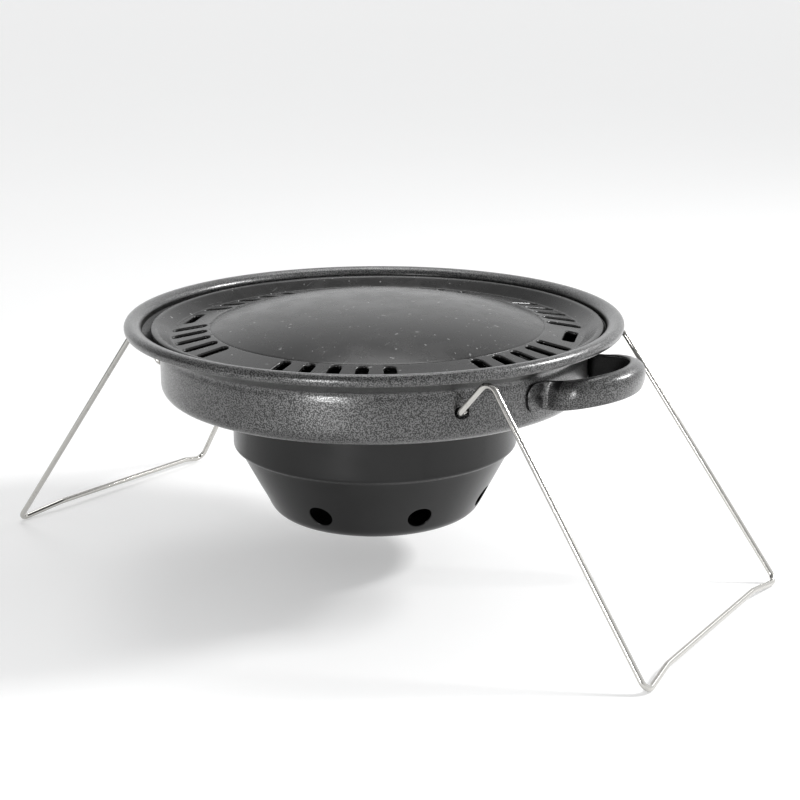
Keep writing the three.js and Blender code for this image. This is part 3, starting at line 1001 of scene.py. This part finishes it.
def drawn_wire(name, tint, rough):
    """Drawn steel wire: fine lines run along it."""
    m = Look(name)
    lines = m.noise(1.0, 2, 0.5, m.coordinates((14, 8, 1), "UV"))
    spots = m.noise(300, 3, 0.6)
    m.shade(m.mix(m.range(spots, 0.55, 0.75), tint, tuple(c * 0.82 for c in tint)), "Base Color")
    m.shade(m.range(lines, 0.3, 0.7, rough, rough + 0.1), "Roughness")
    m.shade(m.bump(lines, 0.03, 0.5), "Normal")
    m.set(Metallic=1.0)
    return m.material


# ---- stage ----
def facing(azimuth, elevation):
    """The unit vector from the object towards a direction in degrees. Azimuth 0 is the front, and 90 the right."""
    a, e = math.radians(azimuth), math.radians(elevation)
    return Vector((math.sin(a) * math.cos(e), -math.cos(a) * math.cos(e), math.sin(e)))


def stage():
    """A wide pale table top."""
    size = 60.0
    mesh = bpy.data.meshes.new("table_top")
    steps = 8
    points = []
    for i in range(steps + 1):
        for j in range(steps + 1):
            points.append(((i / steps - 0.5) * size, (j / steps - 0.5) * size, 0.0))
    faces = []
    for i in range(steps):
        for j in range(steps):
            a = i * (steps + 1) + j
            faces.append((a, a + steps + 1, a + steps + 2, a + 1))
    mesh.from_pydata(points, [], faces)
    floor = bpy.data.objects.new("table_top", mesh)
    bpy.context.scene.collection.objects.link(floor)
    m = Look("pale_table")
    m.shade(m.mix(m.noise(3, 2), grey(0.77), grey(0.79)), "Base Color")
    m.set(Roughness=0.6, Specular_IOR_Level=0.15, Emission_Color=(1, 1, 1, 1), Emission_Strength=0.27)
    mesh.materials.append(m.material)


def softbox(name, azimuth, elevation, distance, width, height, power):
    """An area light that faces the middle of the object."""
    data = bpy.data.lights.new(name, "AREA")
    data.shape = "RECTANGLE"
    data.size, data.size_y, data.energy = width, height, power
    lamp = bpy.data.objects.new(name, data)
    back = facing(azimuth, elevation)
    place = Vector((0, 0, 0.12)) + back * distance
    lamp.matrix_world = Matrix.Translation(place) @ back.to_track_quat("Z", "Y").to_matrix().to_4x4()
    bpy.context.scene.collection.objects.link(lamp)


def sun(name, azimuth, elevation, angle, strength):
    """A distant soft light."""
    data = bpy.data.lights.new(name, "SUN")
    data.angle, data.energy = math.radians(angle), strength
    lamp = bpy.data.objects.new(name, data)
    lamp.matrix_world = facing(azimuth, elevation).to_track_quat("Z", "Y").to_matrix().to_4x4()
    bpy.context.scene.collection.objects.link(lamp)


def studio_world():
    """A pale room: bright behind the object, dimmer overhead, with a darker strip on the near side."""
    world = bpy.data.worlds.new("studio")
    world.use_nodes = True
    tree = world.node_tree
    w = Nodes(tree)
    back = tree.nodes["Background"]

    def along(x, y):
        """How far a direction points along a level one, from -1 to 1."""
        node = tree.nodes.new("ShaderNodeVectorMath")
        node.operation = "DOT_PRODUCT"
        tree.links.new(w.where.outputs["Generated"], node.inputs[0])
        node.inputs[1].default_value = (x, y, 0)
        return node.outputs["Value"]

    view = math.radians(VIEW_AZIMUTH)
    ahead = along(-math.sin(view), math.cos(view))
    across = along(math.cos(view), math.sin(view))
    high = w.part("Generated", "Z")
    turn = w.math("ABSOLUTE", w.math("ARCTAN2", across, w.math("MULTIPLY", ahead, -1)), 0)
    far = w.range(ahead, 0.2, 0.95, 0.68, 0.97)
    near = w.range(turn, 0.06, 0.24, 0.25, 1.0)
    top = w.range(high, 0.3, 0.95, 1.0, 0.42)
    behind = w.range(ahead, 0.3, 0.9)
    beside = w.range(across, -0.9, 0.9, 0.22, 1.55, smooth=False)
    evened = w.math("ADD", beside, w.math("MULTIPLY", behind, w.math("SUBTRACT", 1.0, beside)))
    level = w.math("MULTIPLY", w.math("MULTIPLY", w.math("MULTIPLY", far, near), top), evened)
    back.inputs["Color"].default_value = (0.99, 0.995, 1.0, 1)
    w.link(level, back.inputs["Strength"])
    bpy.context.scene.world = world


def lights():
    """Suns: azimuth, elevation, angle, strength. Softboxes: azimuth, elevation, distance, width, height, power."""
    sun("main_behind", 213, 61, 24, 0.5)
    sun("right_behind", 168, 34, 14, 0.12)
    sun("left", -40, 26, 14, 0.1)
    sun("top_left", 300, 62, 60, 0.25)
    sun("top_right", 120, 62, 60, 0.12)
    softbox("strip_left", 12, 6, 1.7, 0.26, 0.6, 12)
    softbox("box_right", 131, 35, 1.7, 0.3, 0.3, 22)
    studio_world()


def camera():
    azimuth, roll = math.radians(VIEW_AZIMUTH), math.radians(VIEW_ROLL)
    back = facing(VIEW_AZIMUTH, VIEW_ELEVATION)
    right = Vector((math.cos(azimuth), math.sin(azimuth), 0))
    up = back.cross(right)
    c, s = math.cos(roll), math.sin(roll)
    data = bpy.data.cameras.new("camera")
    data.sensor_width = VIEW_SENSOR
    data.lens = VIEW_LENS
    data.clip_start, data.clip_end = 0.01, 200
    made = bpy.data.objects.new("camera", data)
    turned = Matrix((right * c + up * s, up * c - right * s, back)).transposed().to_4x4()
    made.matrix_world = Matrix.Translation(VIEW_FROM) @ turned
    bpy.context.scene.collection.objects.link(made)
    bpy.context.scene.camera = made


def build_grill():
    paint = hammertone()
    polished = drawn_wire("polished_wire", (0.55, 0.54, 0.515), 0.13)
    pan(paint)
    plate(nonstick())
    bowl(satin_black())
    grate(drawn_wire("grate_wire", (0.5, 0.49, 0.48), 0.3))
    handle("handle_right", HANDLE_AZIMUTH, paint)
    handle("handle_left", HANDLE_AZIMUTH + 180, paint)
    for name in LEGS:
        leg(name, polished)


camera()
build_grill()
stage()
lights()
bpy.context.scene.view_settings.view_transform = "Standard"
